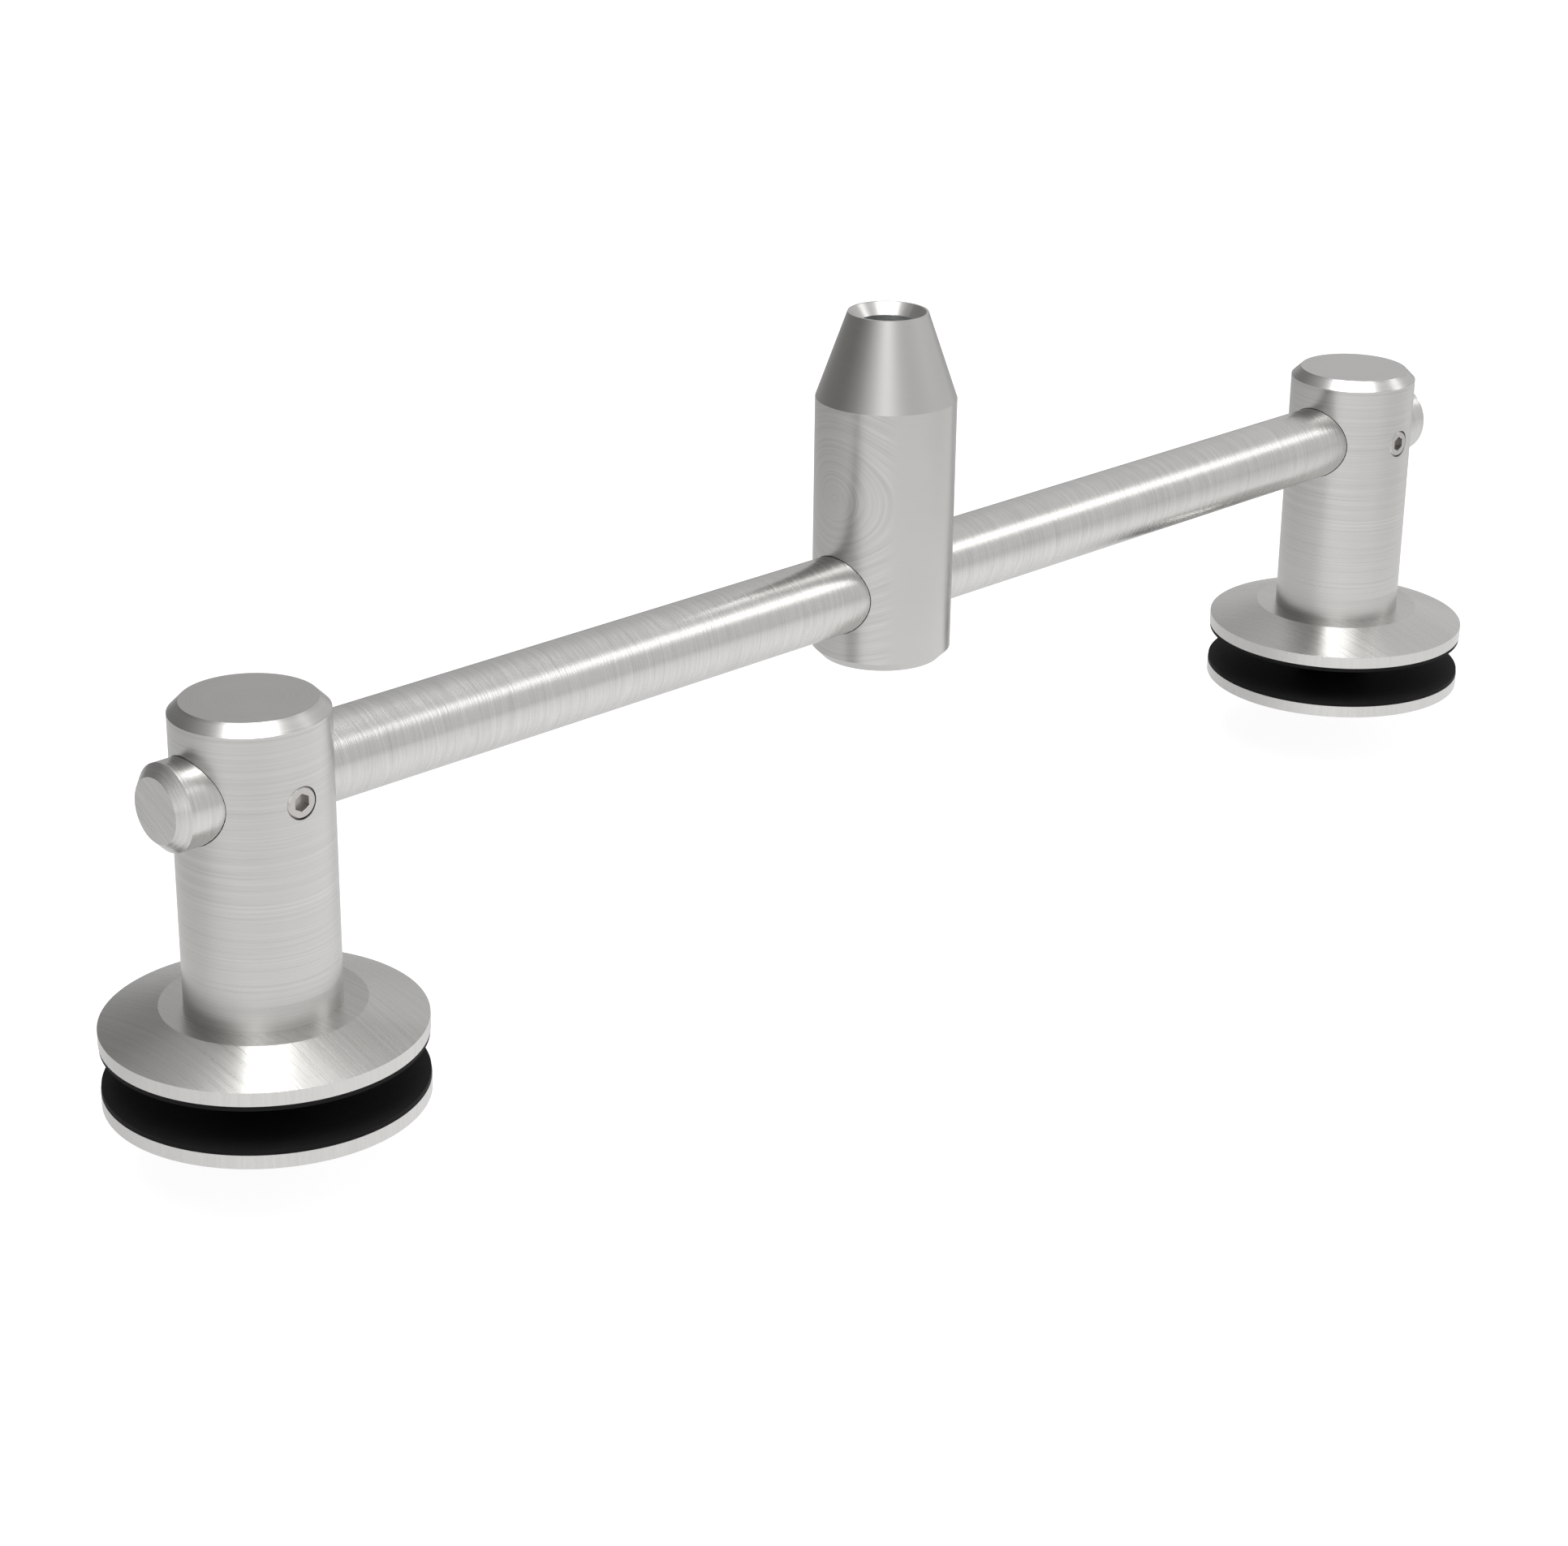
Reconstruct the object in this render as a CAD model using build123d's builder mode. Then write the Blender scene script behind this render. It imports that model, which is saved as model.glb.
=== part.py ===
# Double point bracket for a glass canopy.
# A round crossbar carries a glass clamp near each end and, halfway, a post for the tie rod.
# Millimetres. X runs along the bar, Z is up, and the grub screws of the clamps face -Y.
# The origin is on the underside of the lower discs, midway between the two clamps.

import os
from math import radians, tan

from build123d import *

# Overall layout
clamp_spacing = 277.5        # between the upright axes of the two clamps
bar_overhang = 17.95         # from each clamp's axis to the end of the bar
bar_rise = 37.1              # from a stem's foot up to the axis of the bar

# Crossbar
bar_diameter = 14.2
bar_end_chamfer = 1.8
bar_fit = 0.08               # all round, in the stems and in the post

# Stems
stem_diameter = 25.0
stem_length = 50.6
stem_top_chamfer = 1.8
web_under_bar = 4.4          # metal left between the bar's bore and the drilled hole below it

# Clamp discs: a thin rim, a wide shallow cone and a flat land that the stem stands on
disc_diameter = 51.9
disc_rim = 2.3
disc_cone_height = 3.1
land_width = 3.9             # the part of the land that shows outside the stem

# Glass clamp
glass_gap = 6.7              # between the gaskets when the clamp is closed
gasket_thickness = 0.8
gasket_inset = 0.1           # of the gasket's edge behind the disc's rim
sleeve_diameter = 14.0       # the plastic sleeve that lines the hole in the glass
sleeve_chamfer = 0.5
sleeve_play = 0.3            # all round, between the sleeve and the clamp screw
gasket_play = 0.2            # all round, between the gasket and the sleeve

# Clamp screws, countersunk with a hexagon socket
screw_diameter = 8.0
screw_socket = 5.0           # across flats
screw_socket_depth = 3.0
screw_tip_chamfer = 0.8
head_edge = 0.4              # the straight edge of the countersunk head
head_sink = 0.2              # of the head below the lower disc's land
head_play = 0.05             # between the head and its countersink
throat = 0.8                 # the straight bore that is left above the countersink
disc_bore_play = 0.5         # all round the screw in both discs
tap_runout = 2.1             # of thread beyond the screw's tip

# Grub screws, with a hexagon socket
grub_diameter = 5.0
grub_socket = 2.5            # across flats
grub_socket_depth = 1.5
grub_face_chamfer = 0.45
grub_tip_chamfer = 0.6
grub_sink = 0.4              # of the screw's face below the surface
grub_tip_gap = 0.02          # between the screw's tip and the bar
entry_play = 0.2             # all round the screw, where the tapped hole opens out
entry_depth = 0.8

# Post for the tie rod
post_diameter = 25.0
post_length = 62.7
post_drop = 13.4             # from the axis of the bar down to the post's underside
post_cone_length = 15.3
post_tip_diameter = 14.2
post_bottom_chamfer = 1.7
rod_thread_diameter = 12.0
rod_thread_pitch = 1.75
mouth_diameter = 13.4        # of the countersink above the thread
mouth_depth = 2.0
web_over_bar = 11.0          # metal left between the bar's bore and the drilled hole above it

thread_play = 0.05           # all round a screw in its tapped hole
drill_point_angle = 118.0

bar_length = clamp_spacing + 2 * bar_overhang

# Radii that more than one piece uses
bar_bore = bar_diameter / 2 + bar_fit
disc_bore = screw_diameter / 2 + disc_bore_play
screw_tapping = screw_diameter / 2 + thread_play
grub_tapping = grub_diameter / 2 + thread_play
rod_tapping = (rod_thread_diameter - rod_thread_pitch) / 2

# Heights, from the underside of the lower disc upwards
disc_thickness = disc_rim + disc_cone_height
lower_gasket_base = disc_thickness
upper_gasket_base = lower_gasket_base + gasket_thickness + glass_gap
upper_disc_base = upper_gasket_base + gasket_thickness
stem_foot = upper_disc_base + disc_thickness
bar_height = stem_foot + bar_rise
post_foot = bar_height - post_drop
post_top = post_foot + post_length


def drill_point(radius):
    """Depth of the cone that a drill leaves at the end of a blind hole."""
    return radius / tan(radians(drill_point_angle / 2))


def upright_section(x):
    """Plane through an upright axis at x: radius to the right, height above the origin up."""
    return Plane(origin=(x, 0, 0), x_dir=(1, 0, 0), z_dir=(0, -1, 0))


def upright_axis(x):
    return Axis((x, 0, 0), (0, 0, 1))


def bar_section(x):
    """Plane square to the bar, centred on its axis."""
    return Plane(origin=(x, 0, bar_height), x_dir=(0, 1, 0), z_dir=(1, 0, 0))


def grub_plane(x, reach):
    """Plane square to a stem's grub screw, at a distance from the bar's axis, facing out."""
    return Plane(origin=(x, -reach, bar_height), x_dir=(1, 0, 0), z_dir=(0, -1, 0))


def post_grub_plane(reach):
    """The same for the post's grub screw, which points down."""
    return Plane(origin=(0, 0, bar_height - reach), x_dir=(1, 0, 0), z_dir=(0, 0, -1))


def make_crossbar():
    with BuildPart() as bar:
        with BuildSketch(bar_section(-bar_length / 2)):
            Circle(bar_diameter / 2)
        extrude(amount=bar_length)
        end_edges = bar.edges().filter_by(GeomType.CIRCLE)
        chamfer(end_edges, length=bar_end_chamfer)
    return bar.part


def make_stem(x):
    thread_depth = bar_rise - bar_bore - web_under_bar - drill_point(screw_tapping)
    with BuildPart() as stem:
        with BuildSketch(Plane(origin=(x, 0, stem_foot))):
            Circle(stem_diameter / 2)
        extrude(amount=stem_length)
        chamfer(stem.faces().sort_by(Axis.Z)[-1].edges(), length=stem_top_chamfer)
        # the bore for the bar, right through
        with Locations(bar_section(x)):
            Hole(bar_bore)
        # the tapped hole for the grub screw, from the front into the bore
        with Locations(grub_plane(x, stem_diameter / 2)):
            CounterBoreHole(
                grub_tapping,
                grub_diameter / 2 + entry_play,
                entry_depth,
                depth=stem_diameter / 2 - bar_diameter / 4,
            )
        # the tapped blind hole for the clamp screw, with its drill point
        with BuildSketch(upright_section(x)):
            with BuildLine():
                Polyline(
                    (0, stem_foot),
                    (screw_tapping, stem_foot),
                    (screw_tapping, stem_foot + thread_depth),
                    (0, stem_foot + thread_depth + drill_point(screw_tapping)),
                    close=True,
                )
            make_face()
        revolve(axis=upright_axis(x), mode=Mode.SUBTRACT)
    return stem.part


def disc_outline(face, away):
    """Half outline of a clamp disc from its flat face, which lies on the gasket."""
    rim_edge = face + away * disc_rim
    land = face + away * disc_thickness
    land_radius = stem_diameter / 2 + land_width
    return [(0, face), (disc_diameter / 2, face), (disc_diameter / 2, rim_edge),
            (land_radius, land), (0, land)]


def make_upper_disc(x):
    with BuildPart() as disc:
        with BuildSketch(upright_section(x)):
            with BuildLine():
                Polyline(*disc_outline(upper_disc_base, 1), close=True)
            make_face()
        revolve(axis=upright_axis(x))
        with Locations(Plane(origin=(x, 0, stem_foot))):
            Hole(disc_bore)
    return disc.part


def make_lower_disc(x):
    # the countersink is as wide at the land as the head's cone would be there
    head_reach = disc_thickness - throat - head_edge
    sink_radius = screw_diameter / 2 + head_reach + head_play
    with BuildPart() as disc:
        with BuildSketch(upright_section(x)):
            with BuildLine():
                Polyline(*disc_outline(disc_thickness, -1), close=True)
            make_face()
        revolve(axis=upright_axis(x))
        with Locations(Plane(origin=(x, 0, 0), z_dir=(0, 0, -1))):
            Hole(disc_bore)
        with BuildSketch(upright_section(x)):
            with BuildLine():
                Polyline(
                    (0, 0),
                    (sink_radius, 0),
                    (sink_radius, head_edge),
                    (screw_diameter / 2, disc_thickness - throat + head_play),
                    (0, disc_thickness - throat + head_play),
                    close=True,
                )
            make_face()
        revolve(axis=upright_axis(x), mode=Mode.SUBTRACT)
    return disc.part


def make_gasket(x, base):
    with BuildPart() as gasket:
        with BuildSketch(Plane(origin=(x, 0, base))):
            Circle(disc_diameter / 2 - gasket_inset)
            Circle(sleeve_diameter / 2 + gasket_play, mode=Mode.SUBTRACT)
        extrude(amount=gasket_thickness)
    return gasket.part


def make_upper_gasket(x):
    return make_gasket(x, upper_gasket_base)


def make_lower_gasket(x):
    return make_gasket(x, lower_gasket_base)


def make_glass_sleeve(x):
    with BuildPart() as sleeve:
        with BuildSketch(Plane(origin=(x, 0, disc_thickness))):
            Circle(sleeve_diameter / 2)
        extrude(amount=upper_disc_base - disc_thickness)
        chamfer(sleeve.edges().filter_by(GeomType.CIRCLE), length=sleeve_chamfer)
        with Locations(Plane(origin=(x, 0, upper_disc_base))):
            Hole(screw_diameter / 2 + sleeve_play)
    return sleeve.part


def make_clamp_screw(x):
    radius = screw_diameter / 2
    head_top = disc_thickness - throat
    head_radius = radius + head_top - head_sink - head_edge
    tip = stem_foot + bar_rise - bar_bore - web_under_bar - drill_point(screw_tapping) - tap_runout
    with BuildPart() as screw:
        with BuildSketch(upright_section(x)):
            with BuildLine():
                Polyline(
                    (0, head_sink),
                    (head_radius, head_sink),
                    (head_radius, head_sink + head_edge),
                    (radius, head_top),
                    (radius, tip - screw_tip_chamfer),
                    (radius - screw_tip_chamfer, tip),
                    (0, tip),
                    close=True,
                )
            make_face()
        revolve(axis=upright_axis(x))
        with BuildSketch(Plane(origin=(x, 0, head_sink))):
            RegularPolygon(screw_socket / 2, 6, major_radius=False)
        extrude(amount=screw_socket_depth, mode=Mode.SUBTRACT)
    return screw.part


def make_grub_screw(tip_plane, length):
    """Grub screw that stands out along the plane's normal, with its socket at the far end."""
    face_plane = tip_plane.offset(length)
    with BuildPart() as grub:
        with BuildSketch(tip_plane):
            Circle(grub_diameter / 2)
        extrude(amount=length)
        ends = grub.faces().filter_by(GeomType.PLANE).sort_by(Axis(tip_plane.origin, tip_plane.z_dir))
        chamfer(ends[0].edges(), length=grub_tip_chamfer)
        chamfer(ends[-1].edges(), length=grub_face_chamfer)
        with BuildSketch(face_plane):
            RegularPolygon(grub_socket / 2, 6, major_radius=False, rotation=30)
        extrude(amount=-grub_socket_depth, mode=Mode.SUBTRACT)
    return grub.part


def make_stem_grub_screw(x):
    tip = bar_diameter / 2 + grub_tip_gap
    return make_grub_screw(grub_plane(x, tip), stem_diameter / 2 - grub_sink - tip)


def make_post_grub_screw():
    tip = bar_diameter / 2 + grub_tip_gap
    return make_grub_screw(post_grub_plane(tip), post_drop - grub_sink - tip)


def make_post():
    radius = post_diameter / 2
    cone_foot = post_top - post_cone_length
    thread_top = post_top - mouth_depth
    hole_end = bar_height + bar_bore + web_over_bar
    with BuildPart() as post:
        with BuildSketch(upright_section(0)):
            with BuildLine():
                Polyline(
                    (0, post_foot),
                    (radius - post_bottom_chamfer, post_foot),
                    (radius, post_foot + post_bottom_chamfer),
                    (radius, cone_foot),
                    (post_tip_diameter / 2, post_top),
                    (0, post_top),
                    close=True,
                )
            make_face()
        revolve(axis=upright_axis(0))
        # the tapped hole for the tie rod, under its countersunk mouth
        with BuildSketch(upright_section(0)):
            with BuildLine():
                Polyline(
                    (0, post_top),
                    (mouth_diameter / 2, post_top),
                    (rod_tapping, thread_top),
                    (rod_tapping, hole_end + drill_point(rod_tapping)),
                    (0, hole_end),
                    close=True,
                )
            make_face()
        revolve(axis=upright_axis(0), mode=Mode.SUBTRACT)
        # the bore for the bar, right through
        with Locations(bar_section(0)):
            Hole(bar_bore)
        # the tapped hole for the grub screw, from below into the bore
        with Locations(post_grub_plane(post_drop)):
            CounterBoreHole(
                grub_tapping,
                grub_diameter / 2 + entry_play,
                entry_depth,
                depth=post_drop - bar_diameter / 4,
            )
    return post.part


clamp_pieces = {
    "stem": make_stem,
    "grub_screw": make_stem_grub_screw,
    "upper_disc": make_upper_disc,
    "upper_gasket": make_upper_gasket,
    "glass_sleeve": make_glass_sleeve,
    "lower_gasket": make_lower_gasket,
    "lower_disc": make_lower_disc,
    "clamp_screw": make_clamp_screw,
}

pieces = {
    "crossbar": make_crossbar(),
    "tie_rod_post": make_post(),
    "post_grub_screw": make_post_grub_screw(),
}
for side, side_x in (("left", -clamp_spacing / 2), ("right", clamp_spacing / 2)):
    for piece_name, make_piece in clamp_pieces.items():
        pieces[f"{side}_{piece_name}"] = make_piece(side_x)

os.makedirs("parts", exist_ok=True)
for name, piece in pieces.items():
    piece.label = name
    export_step(piece, f"parts/{name}.step")
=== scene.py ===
from math import ceil, cos, floor, pi, radians, sin, tau

import bmesh
import bpy
from mathutils import Matrix, Vector


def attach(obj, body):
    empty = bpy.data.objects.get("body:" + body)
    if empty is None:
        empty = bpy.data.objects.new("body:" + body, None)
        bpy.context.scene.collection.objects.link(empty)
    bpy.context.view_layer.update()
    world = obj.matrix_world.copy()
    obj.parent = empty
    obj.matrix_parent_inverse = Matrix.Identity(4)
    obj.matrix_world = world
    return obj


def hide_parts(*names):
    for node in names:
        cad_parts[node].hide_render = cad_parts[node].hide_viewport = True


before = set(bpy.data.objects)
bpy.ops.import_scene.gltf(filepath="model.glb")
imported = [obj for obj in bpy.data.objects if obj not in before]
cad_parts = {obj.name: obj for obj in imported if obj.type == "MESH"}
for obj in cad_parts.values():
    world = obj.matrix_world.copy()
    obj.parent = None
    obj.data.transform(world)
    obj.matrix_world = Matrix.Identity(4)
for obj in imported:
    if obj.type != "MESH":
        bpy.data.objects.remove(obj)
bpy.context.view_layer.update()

# Sizes in metres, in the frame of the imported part
CLAMP_X = {"left": -0.13875, "right": 0.13875}
BAR_Z = 0.0562
POST_MIDDLE_Z = 0.07415

ROD_THREAD_WALL = 0.005125
ROD_THREAD_CREST = 0.00486
ROD_THREAD_PITCH = 0.00175
ROD_THREAD_BOTTOM = 0.0776
ROD_THREAD_TOP = 0.1034
ROD_THREAD_SINK = 0.00004
ROD_THREAD_MARGIN = 0.0008

SCREW_HEAD_Z = 0.0002
SCREW_HEAD_RADIUS = 0.008
SCREW_HEAD_EDGE = 0.0004
SCREW_HEAD_CHAMFER = 0.00015
SCREW_SHANK_RADIUS = 0.004
SCREW_ROOT_RADIUS = 0.00342
SCREW_NECK = 0.0014
SCREW_PITCH = 0.00125
SCREW_TIP_Z = 0.0401
SCREW_TIP_CHAMFER = 0.0008
SOCKET_HALF_WIDTH = 0.0025
SOCKET_DEPTH = 0.003
SOCKET_LEAD_IN = 0.0003
SOCKET_DRILL_SHARE = 0.8
SOCKET_DRILL_DEPTH = 0.0004
SOCKET_FLOOR_CHAMFER = 0.0001

GRUB_RADIUS = 0.0025
GRUB_FACE_RADIUS = 0.00262
GRUB_FACE_DEPTH = 0.00055
GRUB_ROOT_RADIUS = 0.0021
GRUB_PITCH = 0.0008
GRUB_TIP = 0.00712
GRUB_TIP_CHAMFER = 0.0006
GRUB_FACE_CHAMFER = 0.00028
GRUB_SOCKET_HALF_WIDTH = 0.00127
GRUB_SOCKET_DEPTH = 0.00115
GRUB_SOCKET_LEAD_IN = 0.00006
STEM_GRUB_FACE = 0.01238
POST_GRUB_FACE = 0.01325

# Thread profiles, as shares of the pitch from the middle of the ridge or groove
RIDGE_FOOT = 0.42
RIDGE_FLAT = 0.1
THREAD_ROOT_FLAT = 0.06
THREAD_FLANK = 0.36

# How finely the threads and screws are meshed, and where their edges stay sharp
RIDGE_STEPS_A_TURN = 48
RIDGE_RUN_OUT_STEPS = 12
RIDGE_SHARP_ANGLE = radians(35)
SCREW_COLUMNS = 72
SCREW_ROWS_A_TURN = 10
SCREW_SHARP_ANGLE = radians(28)
MERGE_DISTANCE = 1e-7

# The floor is low enough for both clamps to open fully above it. Steel mirrors a floor
# that is just under the closed clamps, with a gap that the clamps open through.
FLOOR_Z = -0.0106
FLOOR_END = 6.0
MIRRORED_FLOOR_Z = -0.0003
MIRRORED_GAP_X = 0.17
MIRRORED_GAP_Y = 0.0265
FLOOR_GLOW = 0.87

# The photograph's viewpoint, found from the bracket's own edges in it
CAMERA_PLACE = (-0.423854, -0.400073, 0.255706)
CAMERA_YAW = radians(-44.974)
CAMERA_PITCH = radians(-22.146)
CAMERA_ROLL = radians(0.738)
CAMERA_LENS = 78.80
CAMERA_SENSOR = 36.0
CAMERA_CLIP = (0.01, 50)
LAMP_DISTANCE = 3

# Base colours
STEEL = (0.603, 0.598, 0.584)
# Painted shade: a darker copy of the steel for the stems and post, in place of the dimmer
# surroundings that they mirror
PAINTED_SHADE_STEEL = (0.555, 0.550, 0.537)
GRUB_STEEL = (0.52, 0.503, 0.49)
# Painted shade: the hex sockets' steel is darker, for the shade in their recesses
SOCKET_PAINTED_SHADE_STEEL = (0.4, 0.385, 0.375)
CLAMP_SCREW_STEEL = (0.62, 0.605, 0.59)
ROD_THREAD_STEEL = (0.5, 0.53, 0.57)
RUBBER = (0.0095, 0.0095, 0.01)
PLASTIC = (0.018, 0.018, 0.019)

# Most of a noise lies between these two values
NOISE_LOW, NOISE_HIGH = 0.3, 0.7

# Steel: how far marks change its roughness, its faint clouds, and the turn of its sheen
ROUGHNESS_SPREAD = 0.03
CLOUD_SIZE, CLOUD_CONTRAST = 90, 0.012
TANGENT_TURN = 0.25


def add(tree, kind, inputs=None, **settings):
    """Adds a shader node, with values or other nodes' outputs on its sockets."""
    made = tree.nodes.new("ShaderNode" + kind)
    for name, value in settings.items():
        setattr(made, name, value)
    for socket, value in (inputs or {}).items():
        if isinstance(value, bpy.types.NodeSocket):
            tree.links.new(value, made.inputs[socket])
        else:
            made.inputs[socket].default_value = value
    return made.outputs[0]


def calculate(tree, operation, first, second=0.0):
    """The result of one mathematical operation on one or two values."""
    return add(tree, "Math", {0: first, 1: second}, operation=operation)


def spread(tree, value, low, high, to_low, to_high):
    """Maps the range low to high of a value onto to_low to to_high, held at both ends."""
    return add(tree, "MapRange", {0: value, 1: low, 2: high, 3: to_low, 4: to_high})


def blend(tree, share, first, second):
    """A value that goes from first to second as share goes from 0 to 1."""
    made = tree.nodes.new("ShaderNodeMix")
    for socket, value in (("Factor", share), ("A", first), ("B", second)):
        if isinstance(value, bpy.types.NodeSocket):
            tree.links.new(value, made.inputs[socket])
        else:
            made.inputs[socket].default_value = value
    return made.outputs["Result"]


def vary(tree, marks, low, high):
    """A value that goes from low to high with the marks."""
    return spread(tree, marks, NOISE_LOW, NOISE_HIGH, low, high)


def noise(tree, vector, w=0.0, detail=3.0, roughness=0.6):
    """Noise at a place given by a vector and a fourth coordinate."""
    return add(tree, "TexNoise",
               {"Vector": vector, "W": w, "Scale": 1.0, "Detail": detail,
                "Roughness": roughness, "Distortion": 0.0},
               noise_dimensions="4D")


def grain(tree, place, scale, detail=3.0, roughness=0.6):
    """Noise whose scale is given along each axis, or as one number for all three."""
    if not isinstance(scale, tuple):
        scale = (scale,) * 3
    scaled = add(tree, "VectorMath", {0: place, 1: scale}, operation="MULTIPLY")
    return noise(tree, scaled, detail=detail, roughness=roughness)


def split(tree, vector):
    """The x, y and z of a vector."""
    made = tree.nodes.new("ShaderNodeSeparateXYZ")
    tree.links.new(vector, made.inputs[0])
    return made.outputs


def new_material(name):
    """A material of one Principled shader: its tree, the shader and the object's coordinates."""
    material = bpy.data.materials.new(name)
    material.use_nodes = True
    tree = material.node_tree
    tree.nodes.clear()
    shader = tree.nodes.new("ShaderNodeBsdfPrincipled")
    out = tree.nodes.new("ShaderNodeOutputMaterial")
    tree.links.new(shader.outputs[0], out.inputs[0])
    coordinates = tree.nodes.new("ShaderNodeTexCoord")
    return material, tree, shader, coordinates


def finish(tree, shader, colour, value, roughness, marks, lift, strength=1.0):
    """Sets a shader's colour times value, its roughness and the relief of its marks."""
    tinted = add(tree, "HueSaturation", {"Value": value, "Color": (*colour, 1)})
    bump = add(tree, "Bump", {"Strength": strength, "Distance": lift, "Height": marks})
    for name, output in (("Base Color", tinted), ("Roughness", roughness), ("Normal", bump)):
        tree.links.new(output, shader.inputs[name])


def lathe_lines(tree, along, around, fine, slow):
    """Marks of a turning tool or a brush round an axis: fine across, slow along the mark.

    along is the coordinate on the axis and around are the two across it."""
    radius = calculate(tree, "SQRT", calculate(
        tree, "ADD", calculate(tree, "MULTIPLY", around[0], around[0]),
        calculate(tree, "MULTIPLY", around[1], around[1])))
    vector = add(tree, "CombineXYZ", {
        0: calculate(tree, "MULTIPLY", radius, fine),
        1: calculate(tree, "MULTIPLY", along, fine),
        2: calculate(tree, "MULTIPLY", around[0], slow)})
    return noise(tree, vector, calculate(tree, "MULTIPLY", around[1], slow))


def straight_lines(tree, place, scale):
    """Straight parallel brush marks, fine along one axis and slow along the others."""
    return grain(tree, place, scale, detail=4.0, roughness=0.65)


def steel(name, centre, axis, pattern, roughness=0.3, lift=0.00001, contrast=0.05,
          anisotropy=0.1, tint=STEEL):
    """Brushed stainless steel whose marks run round the axis through centre."""
    material, tree, shader, coordinates = new_material(name)
    place = add(tree, "VectorMath", {0: coordinates.outputs["Object"], 1: centre},
                operation="SUBTRACT")
    lines = pattern(tree, place, coordinates.outputs["Normal"])
    cloud = grain(tree, place, CLOUD_SIZE, detail=2.0)
    shade = calculate(tree, "ADD", vary(tree, lines, -contrast, contrast),
                      vary(tree, cloud, -CLOUD_CONTRAST, CLOUD_CONTRAST))
    finish(tree, shader, tint, calculate(tree, "ADD", shade, 1.0),
           vary(tree, lines, roughness - ROUGHNESS_SPREAD, roughness + ROUGHNESS_SPREAD),
           lines, lift)
    tangent = add(tree, "Tangent", direction_type="RADIAL", axis=axis)
    tree.links.new(tangent, shader.inputs["Tangent"])
    shader.inputs["Metallic"].default_value = 1.0
    shader.inputs["Anisotropic"].default_value = anisotropy
    shader.inputs["Anisotropic Rotation"].default_value = TANGENT_TURN
    return material


def wavering(tree, place, size, reach):
    """The place with a slow random shift, so that long marks waver a little."""
    drift = grain(tree, place, size, detail=1.0)
    shift = spread(tree, drift, 0.0, 1.0, -reach, reach)
    return add(tree, "VectorMath", {0: place, 1: shift}, operation="ADD")


def stem_pattern(tree, place, normal):
    """Long brushed lines round the stem, faint on its flat top."""
    x, y, z = split(tree, wavering(tree, place, size=22, reach=0.0004))
    fine = lathe_lines(tree, z, (x, y), fine=2900, slow=16)
    broad = lathe_lines(tree, z, (x, y), fine=1100, slow=12)
    lines = blend(tree, 0.25, fine, broad)
    top = calculate(tree, "ABSOLUTE", split(tree, normal)[2])
    return blend(tree, spread(tree, top, 0.8, 0.95, 0.0, 0.6), lines, 0.5)


def disc_pattern(tree, place, normal):
    """Straight brushed lines across the whole disc."""
    fine = straight_lines(tree, place, (3100, 20, 20))
    broad = straight_lines(tree, place, (1300, 14, 14))
    return blend(tree, 0.3, fine, broad)


def bar_pattern(tree, place, normal):
    """Short uneven lines round the bar, and straight ones on its sawn ends."""
    x, y, z = split(tree, wavering(tree, place, size=90, reach=0.0006))
    fine = lathe_lines(tree, x, (y, z), fine=2500, slow=90)
    broad = lathe_lines(tree, x, (y, z), fine=1200, slow=70)
    side = blend(tree, 0.3, fine, broad)
    tilted = add(tree, "VectorRotate", {"Vector": place, "Axis": (1, 0, 0), "Angle": -0.5},
                 rotation_type="AXIS_ANGLE")
    end = straight_lines(tree, tilted, (90, 90, 1500))
    across = calculate(tree, "ABSOLUTE", split(tree, normal)[0])
    return blend(tree, spread(tree, across, 0.8, 0.9, 0.0, 1.0), side, end)


def post_pattern(tree, place, normal):
    """Rings on the sides that face along the bar, and very faint lines on the rest."""
    x, y, z = split(tree, wavering(tree, place, size=60, reach=0.0008))
    rings = lathe_lines(tree, 0.0, (y, z), fine=2300, slow=30)
    lines = lathe_lines(tree, z, (x, y), fine=3000, slow=60)
    sides = split(tree, normal)
    across, up = (calculate(tree, "ABSOLUTE", sides[axis]) for axis in (0, 2))
    facing = calculate(tree, "SUBTRACT", across, up)
    quiet = blend(tree, 0.92, lines, 0.5)
    return blend(tree, spread(tree, facing, 0.58, 0.72, 0.0, 1.0), quiet, rings)


def screw_pattern(tree, place, normal):
    """Fine turned lines."""
    x, y, z = split(tree, place)
    return lathe_lines(tree, z, (x, y), fine=2600, slow=200)


def rubber(name):
    """Matt black rubber, with a fine moulded grain."""
    material, tree, shader, coordinates = new_material(name)
    place = coordinates.outputs["Object"]
    pores = grain(tree, place, 2500, detail=4.0)
    cloud = grain(tree, place, 160)
    finish(tree, shader, RUBBER, vary(tree, cloud, 0.85, 1.15),
           vary(tree, pores, 0.58, 0.7), pores, lift=0.00003, strength=0.3)
    shader.inputs["Specular IOR Level"].default_value = 0.1
    return material


def plastic(name):
    """Black moulded plastic with a light satin sheen."""
    material, tree, shader, coordinates = new_material(name)
    pores = grain(tree, coordinates.outputs["Object"], 1400)
    finish(tree, shader, PLASTIC, vary(tree, pores, 0.9, 1.1),
           vary(tree, pores, 0.36, 0.44), pores, lift=0.00002, strength=0.2)
    return material


def paint(node, material):
    """Gives a piece of the frame one material."""
    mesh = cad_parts[node].data
    mesh.materials.clear()
    mesh.materials.append(material)


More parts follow.
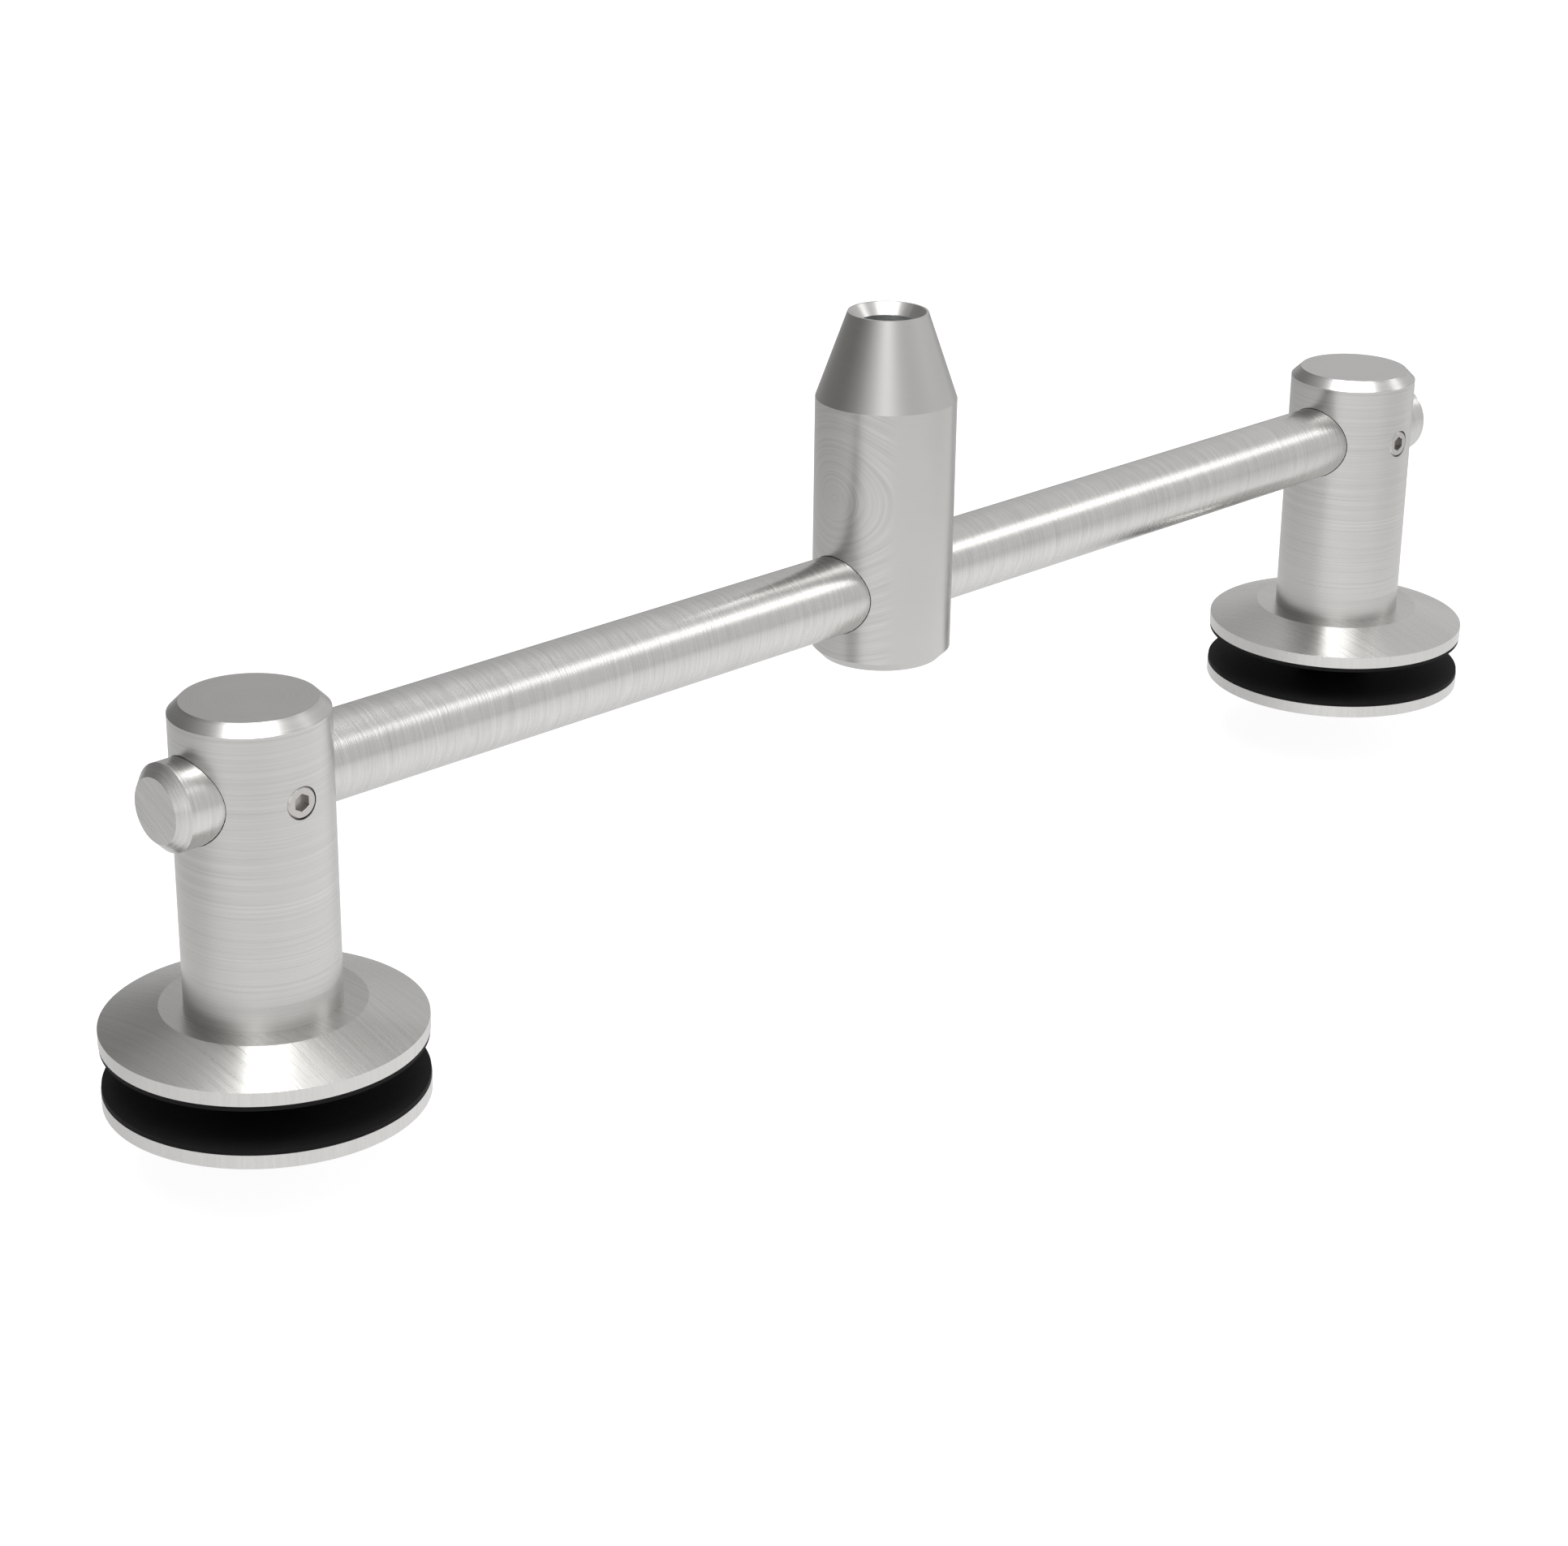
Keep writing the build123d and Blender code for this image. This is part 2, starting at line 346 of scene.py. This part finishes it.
def build_piece(name, vertices, faces, material, body, socket_faces=0):
    """A mesh that rides on a body; its first socket_faces faces have the socket's darker steel,
    painted shade for the recess.
    """
    mesh = bpy.data.meshes.new(name)
    mesh.from_pydata(vertices, [], faces)
    for polygon in mesh.polygons[:socket_faces]:
        polygon.material_index = 1
    shell = bmesh.new()
    shell.from_mesh(mesh)
    bmesh.ops.remove_doubles(shell, verts=shell.verts, dist=MERGE_DISTANCE)
    bmesh.ops.recalc_face_normals(shell, faces=shell.faces)
    shell.to_mesh(mesh)
    shell.free()
    mesh.materials.append(material)
    if socket_faces:
        mesh.materials.append(materials["socket"])
    piece = bpy.data.objects.new(name, mesh)
    bpy.context.scene.collection.objects.link(piece)
    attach(piece, body)
    return piece


def shade_by_angle(piece, limit):
    """Smooth shading, with an edge kept sharp where two faces meet at more than limit."""
    mesh = piece.data
    mesh.polygons.foreach_set("use_smooth", [True] * len(mesh.polygons))
    mesh.set_sharp_from_angle(angle=limit)


def helix_ridge(name, radius, crest, pitch, bottom, top, material, body):
    """One thread ridge that stands in from the wall of a tapped hole, run out at both ends."""
    turns = (top - bottom) / pitch
    steps = floor(turns * RIDGE_STEPS_A_TURN)
    vertices, faces = [], []
    for step in range(steps + 1):
        angle = tau * step / RIDGE_STEPS_A_TURN
        z = bottom + (top - bottom) * step / steps
        rise = min(1.0, step / RIDGE_RUN_OUT_STEPS, (steps - step) / RIDGE_RUN_OUT_STEPS)
        inner = radius + (crest - radius) * rise
        for r, offset in ((radius, -RIDGE_FOOT), (inner, -RIDGE_FLAT),
                          (inner, RIDGE_FLAT), (radius, RIDGE_FOOT)):
            vertices.append((r * cos(angle), r * sin(angle), z + offset * pitch * rise))
    for step in range(steps):
        a, b = 4 * step, 4 * step + 4
        for i in range(4):
            j = (i + 1) % 4
            faces.append((a + i, a + j, b + j, b + i))
    piece = build_piece(name, vertices, faces, material, body)
    shade_by_angle(piece, RIDGE_SHARP_ANGLE)


def hexagon(half_width, angle):
    """Distance from the middle of a hexagon to its edge."""
    return half_width / cos((angle + pi / 6) % (pi / 3) - pi / 6)


def thread_depth(angle, z, start, pitch):
    """How far the thread is cut in at a point, from 0 on the crest to 1 at the root."""
    phase = ((z - start) / pitch - angle / tau) % 1.0
    flank = min(1.0, max(0.0, (abs(phase - 0.5) - THREAD_ROOT_FLAT) / THREAD_FLANK))
    return (1 - flank) * min(1.0, (z - start) / pitch)


def turned_screw(name, rows, socket_rows, place, material, body, stands_for):
    """A screw from rows of (radius, height), each a function of the angle round its axis.

    The first rows are the socket's. place turns a point on the screw's own axes into a
    place in the frame."""
    columns = SCREW_COLUMNS
    vertices, faces = [], []
    for row in rows:
        for column in range(columns):
            angle = tau * column / columns
            r, z = row(angle)
            vertices.append(place(r * cos(angle), r * sin(angle), z))
    for row in range(len(rows) - 1):
        for column in range(columns):
            after = (column + 1) % columns
            low, high = row * columns, (row + 1) * columns
            faces.append((low + column, low + after, high + after, high + column))
    piece = build_piece(name, vertices, faces, material, body, socket_rows * columns)
    shade_by_angle(piece, SCREW_SHARP_ANGLE)
    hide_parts(stands_for)


def clamp_screw(side):
    """Countersunk socket screw with a full thread, head down, in place of the plain solid."""
    neck_z = SCREW_HEAD_Z + SCREW_HEAD_EDGE + SCREW_HEAD_RADIUS - SCREW_SHANK_RADIUS
    thread_from = neck_z + SCREW_NECK
    floor_z = SCREW_HEAD_Z + SOCKET_DEPTH

    def thread(angle, z):
        depth = SCREW_SHANK_RADIUS - SCREW_ROOT_RADIUS
        tip = SCREW_SHANK_RADIUS - max(0.0, z - (SCREW_TIP_Z - SCREW_TIP_CHAMFER))
        return min(SCREW_SHANK_RADIUS
                   - depth * thread_depth(angle, z, thread_from, SCREW_PITCH), tip)

    rows = [
        lambda a: (0.0, floor_z + SOCKET_DRILL_DEPTH),
        lambda a: (hexagon(SOCKET_HALF_WIDTH, a) * SOCKET_DRILL_SHARE, floor_z),
        lambda a: (hexagon(SOCKET_HALF_WIDTH, a), floor_z - SOCKET_FLOOR_CHAMFER),
        lambda a: (hexagon(SOCKET_HALF_WIDTH, a), SCREW_HEAD_Z + SOCKET_LEAD_IN),
        lambda a: (SOCKET_HALF_WIDTH / cos(pi / 6) + SOCKET_LEAD_IN, SCREW_HEAD_Z),
        lambda a: (SCREW_HEAD_RADIUS - SCREW_HEAD_CHAMFER, SCREW_HEAD_Z),
        lambda a: (SCREW_HEAD_RADIUS, SCREW_HEAD_Z + SCREW_HEAD_CHAMFER),
        lambda a: (SCREW_HEAD_RADIUS, SCREW_HEAD_Z + SCREW_HEAD_EDGE),
        lambda a: (SCREW_SHANK_RADIUS, neck_z),
    ]
    count = ceil((SCREW_TIP_Z - thread_from) / SCREW_PITCH * SCREW_ROWS_A_TURN)
    for row in range(count + 1):
        z = thread_from + (SCREW_TIP_Z - thread_from) * row / count
        rows.append(lambda a, z=z: (thread(a, z), z))
    rows.append(lambda a: (0.0, SCREW_TIP_Z))
    turned_screw(f"{side}_threaded_screw", rows, 3,
                 lambda x, y, z: (CLAMP_X[side] + x, y, z), materials["screw"],
                 f"{side}_screw", f"{side}_clamp_screw")


def grub_screw(which, face, place):
    """Threaded grub screw whose socket lies at the distance face from the bar's axis."""
    half, deep = GRUB_SOCKET_HALF_WIDTH, face - GRUB_SOCKET_DEPTH
    top = face - GRUB_FACE_DEPTH

    def thread(angle, z):
        depth = GRUB_RADIUS - GRUB_ROOT_RADIUS
        tip = GRUB_RADIUS - max(0.0, GRUB_TIP + GRUB_TIP_CHAMFER - z)
        return min(GRUB_RADIUS - depth * thread_depth(angle, -z, -top, GRUB_PITCH), tip)

    rows = [
        lambda a: (0.0, deep),
        lambda a: (hexagon(half, a), deep),
        lambda a: (hexagon(half, a), face - GRUB_SOCKET_LEAD_IN),
        lambda a: (hexagon(half, a) + GRUB_SOCKET_LEAD_IN, face),
        lambda a: (GRUB_FACE_RADIUS - GRUB_FACE_CHAMFER, face),
        lambda a: (GRUB_FACE_RADIUS, face - GRUB_FACE_CHAMFER),
        lambda a: (GRUB_FACE_RADIUS, top),
    ]
    count = ceil((top - GRUB_TIP) / GRUB_PITCH * SCREW_ROWS_A_TURN)
    for row in range(count + 1):
        z = top - (top - GRUB_TIP) * row / count
        rows.append(lambda a, z=z: (thread(a, z), z))
    rows.append(lambda a: (0.0, GRUB_TIP))
    turned_screw(f"{which}_threaded_grub_screw", rows, 2, place, materials["grub"],
                 f"{which}_grub", f"{which}_grub_screw")


def grey_ramp(tree, value, stops):
    """A level that follows the stops, each a position from 0 to 1 and the level there."""
    ramp = tree.nodes.new("ShaderNodeValToRGB")
    for position, level in stops[1:-1]:
        ramp.color_ramp.elements.new(position)
    for element, (position, level) in zip(ramp.color_ramp.elements, stops):
        element.position = position
        element.color = (level, level, level, 1)
    tree.links.new(value, ramp.inputs[0])
    return ramp.outputs[0]


def floor_material():
    """Pale floor that looks white from above, keeps the shadow, and is open from below."""
    material = bpy.data.materials.new("studio_floor")
    material.use_nodes = True
    tree = material.node_tree
    tree.nodes.clear()
    path = tree.nodes.new("ShaderNodeLightPath")
    geometry = tree.nodes.new("ShaderNodeNewGeometry")
    along, back = split(tree, geometry.outputs["Position"])[:2]
    share = grey_ramp(tree, spread(tree, along, -0.3, 0.3, 0.0, 1.0),
                      ((0.0, 0.83), (0.1, 0.85), (0.28, 1.0), (0.72, 1.0), (0.87, 0.8),
                       (1.0, 0.75)))
    level = grey_ramp(tree, spread(tree, back, -0.5, 0.5, 0.0, 1.0),
                      ((0.0, 0.5), (0.15, 0.54), (0.38, 0.67), (0.45, 0.75), (0.485, 0.69),
                       (0.51, 0.64), (0.535, 0.49), (0.6, 0.39), (0.9, 0.1)))
    mirrored = calculate(tree, "MULTIPLY", calculate(tree, "MULTIPLY", level, share),
                         calculate(tree, "MAXIMUM", path.outputs["Is Glossy Ray"],
                                   path.outputs["Is Transmission Ray"]))
    seen = calculate(tree, "MULTIPLY", path.outputs["Is Camera Ray"], FLOOR_GLOW)
    matt = add(tree, "BsdfDiffuse", {"Color": (0.25, 0.25, 0.25, 1)})
    glow = add(tree, "Emission", {
        "Color": (1, 1, 1, 1), "Strength": calculate(tree, "ADD", seen, mirrored)})
    lit = add(tree, "AddShader", {0: matt, 1: glow})
    clear = add(tree, "BsdfTransparent")
    shown = add(tree, "MixShader", {0: geometry.outputs["Backfacing"], 1: lit, 2: clear})
    out = tree.nodes.new("ShaderNodeOutputMaterial")
    tree.links.new(shown, out.inputs[0])
    return material


def make_floor(name, z, material, rectangles):
    """A level floor of rectangles, each given by its lowest and highest x and y."""
    vertices, faces = [], []
    for x0, x1, y0, y1 in rectangles:
        first = len(vertices)
        vertices += [(x0, y0, z), (x1, y0, z), (x1, y1, z), (x0, y1, z)]
        faces.append((first, first + 1, first + 2, first + 3))
    mesh = bpy.data.meshes.new(name)
    mesh.from_pydata(vertices, [], faces)
    mesh.materials.append(material)
    ground = bpy.data.objects.new(name, mesh)
    bpy.context.scene.collection.objects.link(ground)
    return ground


def make_world():
    """Soft studio surroundings: dark behind the bracket, with a pale screen behind the camera."""
    world = bpy.data.worlds.new("studio")
    bpy.context.scene.world = world
    world.use_nodes = True
    tree = world.node_tree
    tree.nodes.clear()
    direction = tree.nodes.new("ShaderNodeTexCoord").outputs["Generated"]
    x, y, z = split(tree, direction)
    azimuth = calculate(tree, "FRACT", calculate(
        tree, "DIVIDE", calculate(tree, "ARCTAN2", y, x), tau))
    around = grey_ramp(tree, azimuth, (
        (0.0, 0.73), (0.08, 0.71), (0.15, 0.54), (0.2, 0.26), (0.4, 0.18), (0.48, 0.32),
        (0.56, 0.78), (0.62, 1.4), (0.69, 0.74), (0.75, 0.66), (0.85, 0.78), (1.0, 0.73)))
    level = blend(tree, spread(tree, z, 0.55, 1.0, 0.0, 1.0), around, 0.68)
    path = tree.nodes.new("ShaderNodeLightPath")
    strength = blend(tree, path.outputs["Is Camera Ray"], level, 1.0)
    background = add(tree, "Background", {"Color": (1, 1, 1, 1), "Strength": strength})
    out = tree.nodes.new("ShaderNodeOutputWorld")
    tree.links.new(background, out.inputs[0])


def softbox(name, azimuth, elevation, size, level):
    """A lamp panel that faces the bracket; its azimuth, in degrees, is from +X towards +Y."""
    azimuth, elevation = radians(azimuth), radians(elevation)
    towards = Vector((cos(elevation) * cos(azimuth), cos(elevation) * sin(azimuth),
                      sin(elevation)))
    lamp = bpy.data.lights.new(name, "AREA")
    lamp.shape = "RECTANGLE"
    lamp.size, lamp.size_y = size
    lamp.energy = level * pi * size[0] * size[1]
    holder = bpy.data.objects.new(name, lamp)
    holder.location = LAMP_DISTANCE * towards
    holder.rotation_euler = towards.to_track_quat("Z", "Y").to_euler()
    bpy.context.scene.collection.objects.link(holder)


def make_camera():
    """A camera at the photograph's viewpoint."""
    yaw, pitch, roll = CAMERA_YAW, CAMERA_PITCH, CAMERA_ROLL
    forward = Vector((-sin(yaw) * cos(pitch), cos(yaw) * cos(pitch), sin(pitch)))
    right = forward.cross(Vector((0, 0, 1))).normalized()
    up = right.cross(forward)
    leaned_right = cos(roll) * right + sin(roll) * up
    leaned_up = cos(roll) * up - sin(roll) * right
    lens = bpy.data.cameras.new("camera")
    lens.lens = CAMERA_LENS
    lens.sensor_width = CAMERA_SENSOR
    lens.clip_start, lens.clip_end = CAMERA_CLIP
    camera = bpy.data.objects.new("camera", lens)
    turn = Matrix((leaned_right, leaned_up, -forward)).transposed().to_4x4()
    camera.matrix_world = Matrix.Translation(CAMERA_PLACE) @ turn
    bpy.context.scene.collection.objects.link(camera)
    bpy.context.scene.camera = camera


# Materials
materials = {
    "screw": steel("screw_steel_turned", (0, 0, 0), "Z", screw_pattern, roughness=0.27,
                   lift=0.000003, contrast=0.03, anisotropy=0.3, tint=CLAMP_SCREW_STEEL),
    "grub": steel("grub_steel", (0, 0, 0), "Y", screw_pattern, roughness=0.25,
                  lift=0.000002, contrast=0.03, anisotropy=0.0, tint=GRUB_STEEL),
    # The socket faces take the darker steel as painted shade
    "socket": steel("screw_socket_painted_shade_steel", (0, 0, 0), "Y", screw_pattern, roughness=0.35,
                    lift=0.000002, contrast=0.05, anisotropy=0.0, tint=SOCKET_PAINTED_SHADE_STEEL),
    "rod_thread": steel("rod_thread_steel", (0, 0, 0), "Z", screw_pattern, roughness=0.3,
                        lift=0.000003, contrast=0.1, tint=ROD_THREAD_STEEL),
    "rubber": rubber("black_rubber_grain"),
    "plastic": plastic("black_plastic_grain"),
}

# Pieces
paint("crossbar", steel("bar_steel", (0, 0, BAR_Z), "X", bar_pattern, roughness=0.265,
                        lift=0.00005, contrast=0.13))
# The post and the stems take the darker copy of the steel, as painted shade
paint("tie_rod_post", steel("post_steel", (0, 0, POST_MIDDLE_Z), "Z", post_pattern,
                            roughness=0.31, lift=0.00001, contrast=0.12, tint=PAINTED_SHADE_STEEL))
paint("post_grub_screw", materials["grub"])
for side, x in CLAMP_X.items():
    paint(f"{side}_stem", steel(f"{side}_stem_steel", (x, 0, 0), "Z", stem_pattern,
                                roughness=0.29, lift=0.000006, contrast=0.12,
                                tint=PAINTED_SHADE_STEEL))
    for layer in ("upper", "lower"):
        paint(f"{side}_{layer}_disc", steel(
            f"{side}_{layer}_disc_steel", (x, 0, 0), "Z", disc_pattern,
            roughness=0.28, lift=0.00004, contrast=0.07, anisotropy=0.7))
        paint(f"{side}_{layer}_gasket", materials["rubber"])
    paint(f"{side}_glass_sleeve", materials["plastic"])
    paint(f"{side}_grub_screw", materials["grub"])
    paint(f"{side}_clamp_screw", materials["screw"])
    clamp_screw(side)
    grub_screw(side, STEM_GRUB_FACE, lambda u, v, w, x=x: (x + u, -w, BAR_Z + v))
grub_screw("post", POST_GRUB_FACE, lambda u, v, w: (u, -v, BAR_Z - w))

helix_ridge("tie_rod_thread_ridge", ROD_THREAD_WALL + ROD_THREAD_SINK, ROD_THREAD_CREST,
            ROD_THREAD_PITCH, ROD_THREAD_BOTTOM + ROD_THREAD_MARGIN,
            ROD_THREAD_TOP - ROD_THREAD_MARGIN, materials["rod_thread"], "post")

# Stage
pale = floor_material()
make_floor("studio_floor", FLOOR_Z, pale,
           [(-FLOOR_END, FLOOR_END, -FLOOR_END, FLOOR_END)])
mirrored_floor = make_floor("mirrored_floor", MIRRORED_FLOOR_Z, pale, [
    (-FLOOR_END, FLOOR_END, -FLOOR_END, -MIRRORED_GAP_Y),
    (-FLOOR_END, FLOOR_END, MIRRORED_GAP_Y, FLOOR_END),
    (-FLOOR_END, -MIRRORED_GAP_X, -MIRRORED_GAP_Y, MIRRORED_GAP_Y),
    (MIRRORED_GAP_X, FLOOR_END, -MIRRORED_GAP_Y, MIRRORED_GAP_Y)])
for rays in ("camera", "diffuse", "transmission", "shadow"):
    setattr(mirrored_floor, f"visible_{rays}", False)
make_world()
softbox("overhead_softbox", azimuth=230, elevation=81, size=(2.3, 2.0), level=5.0)
softbox("front_softbox", azimuth=210, elevation=57, size=(0.9, 1.1), level=3.6)
softbox("halo_softbox", azimuth=24, elevation=67, size=(0.6, 0.5), level=0.9)
softbox("side_softbox", azimuth=-33, elevation=35.5, size=(0.95, 0.8), level=1.9)
make_camera()
bpy.context.scene.view_settings.view_transform = "Standard"
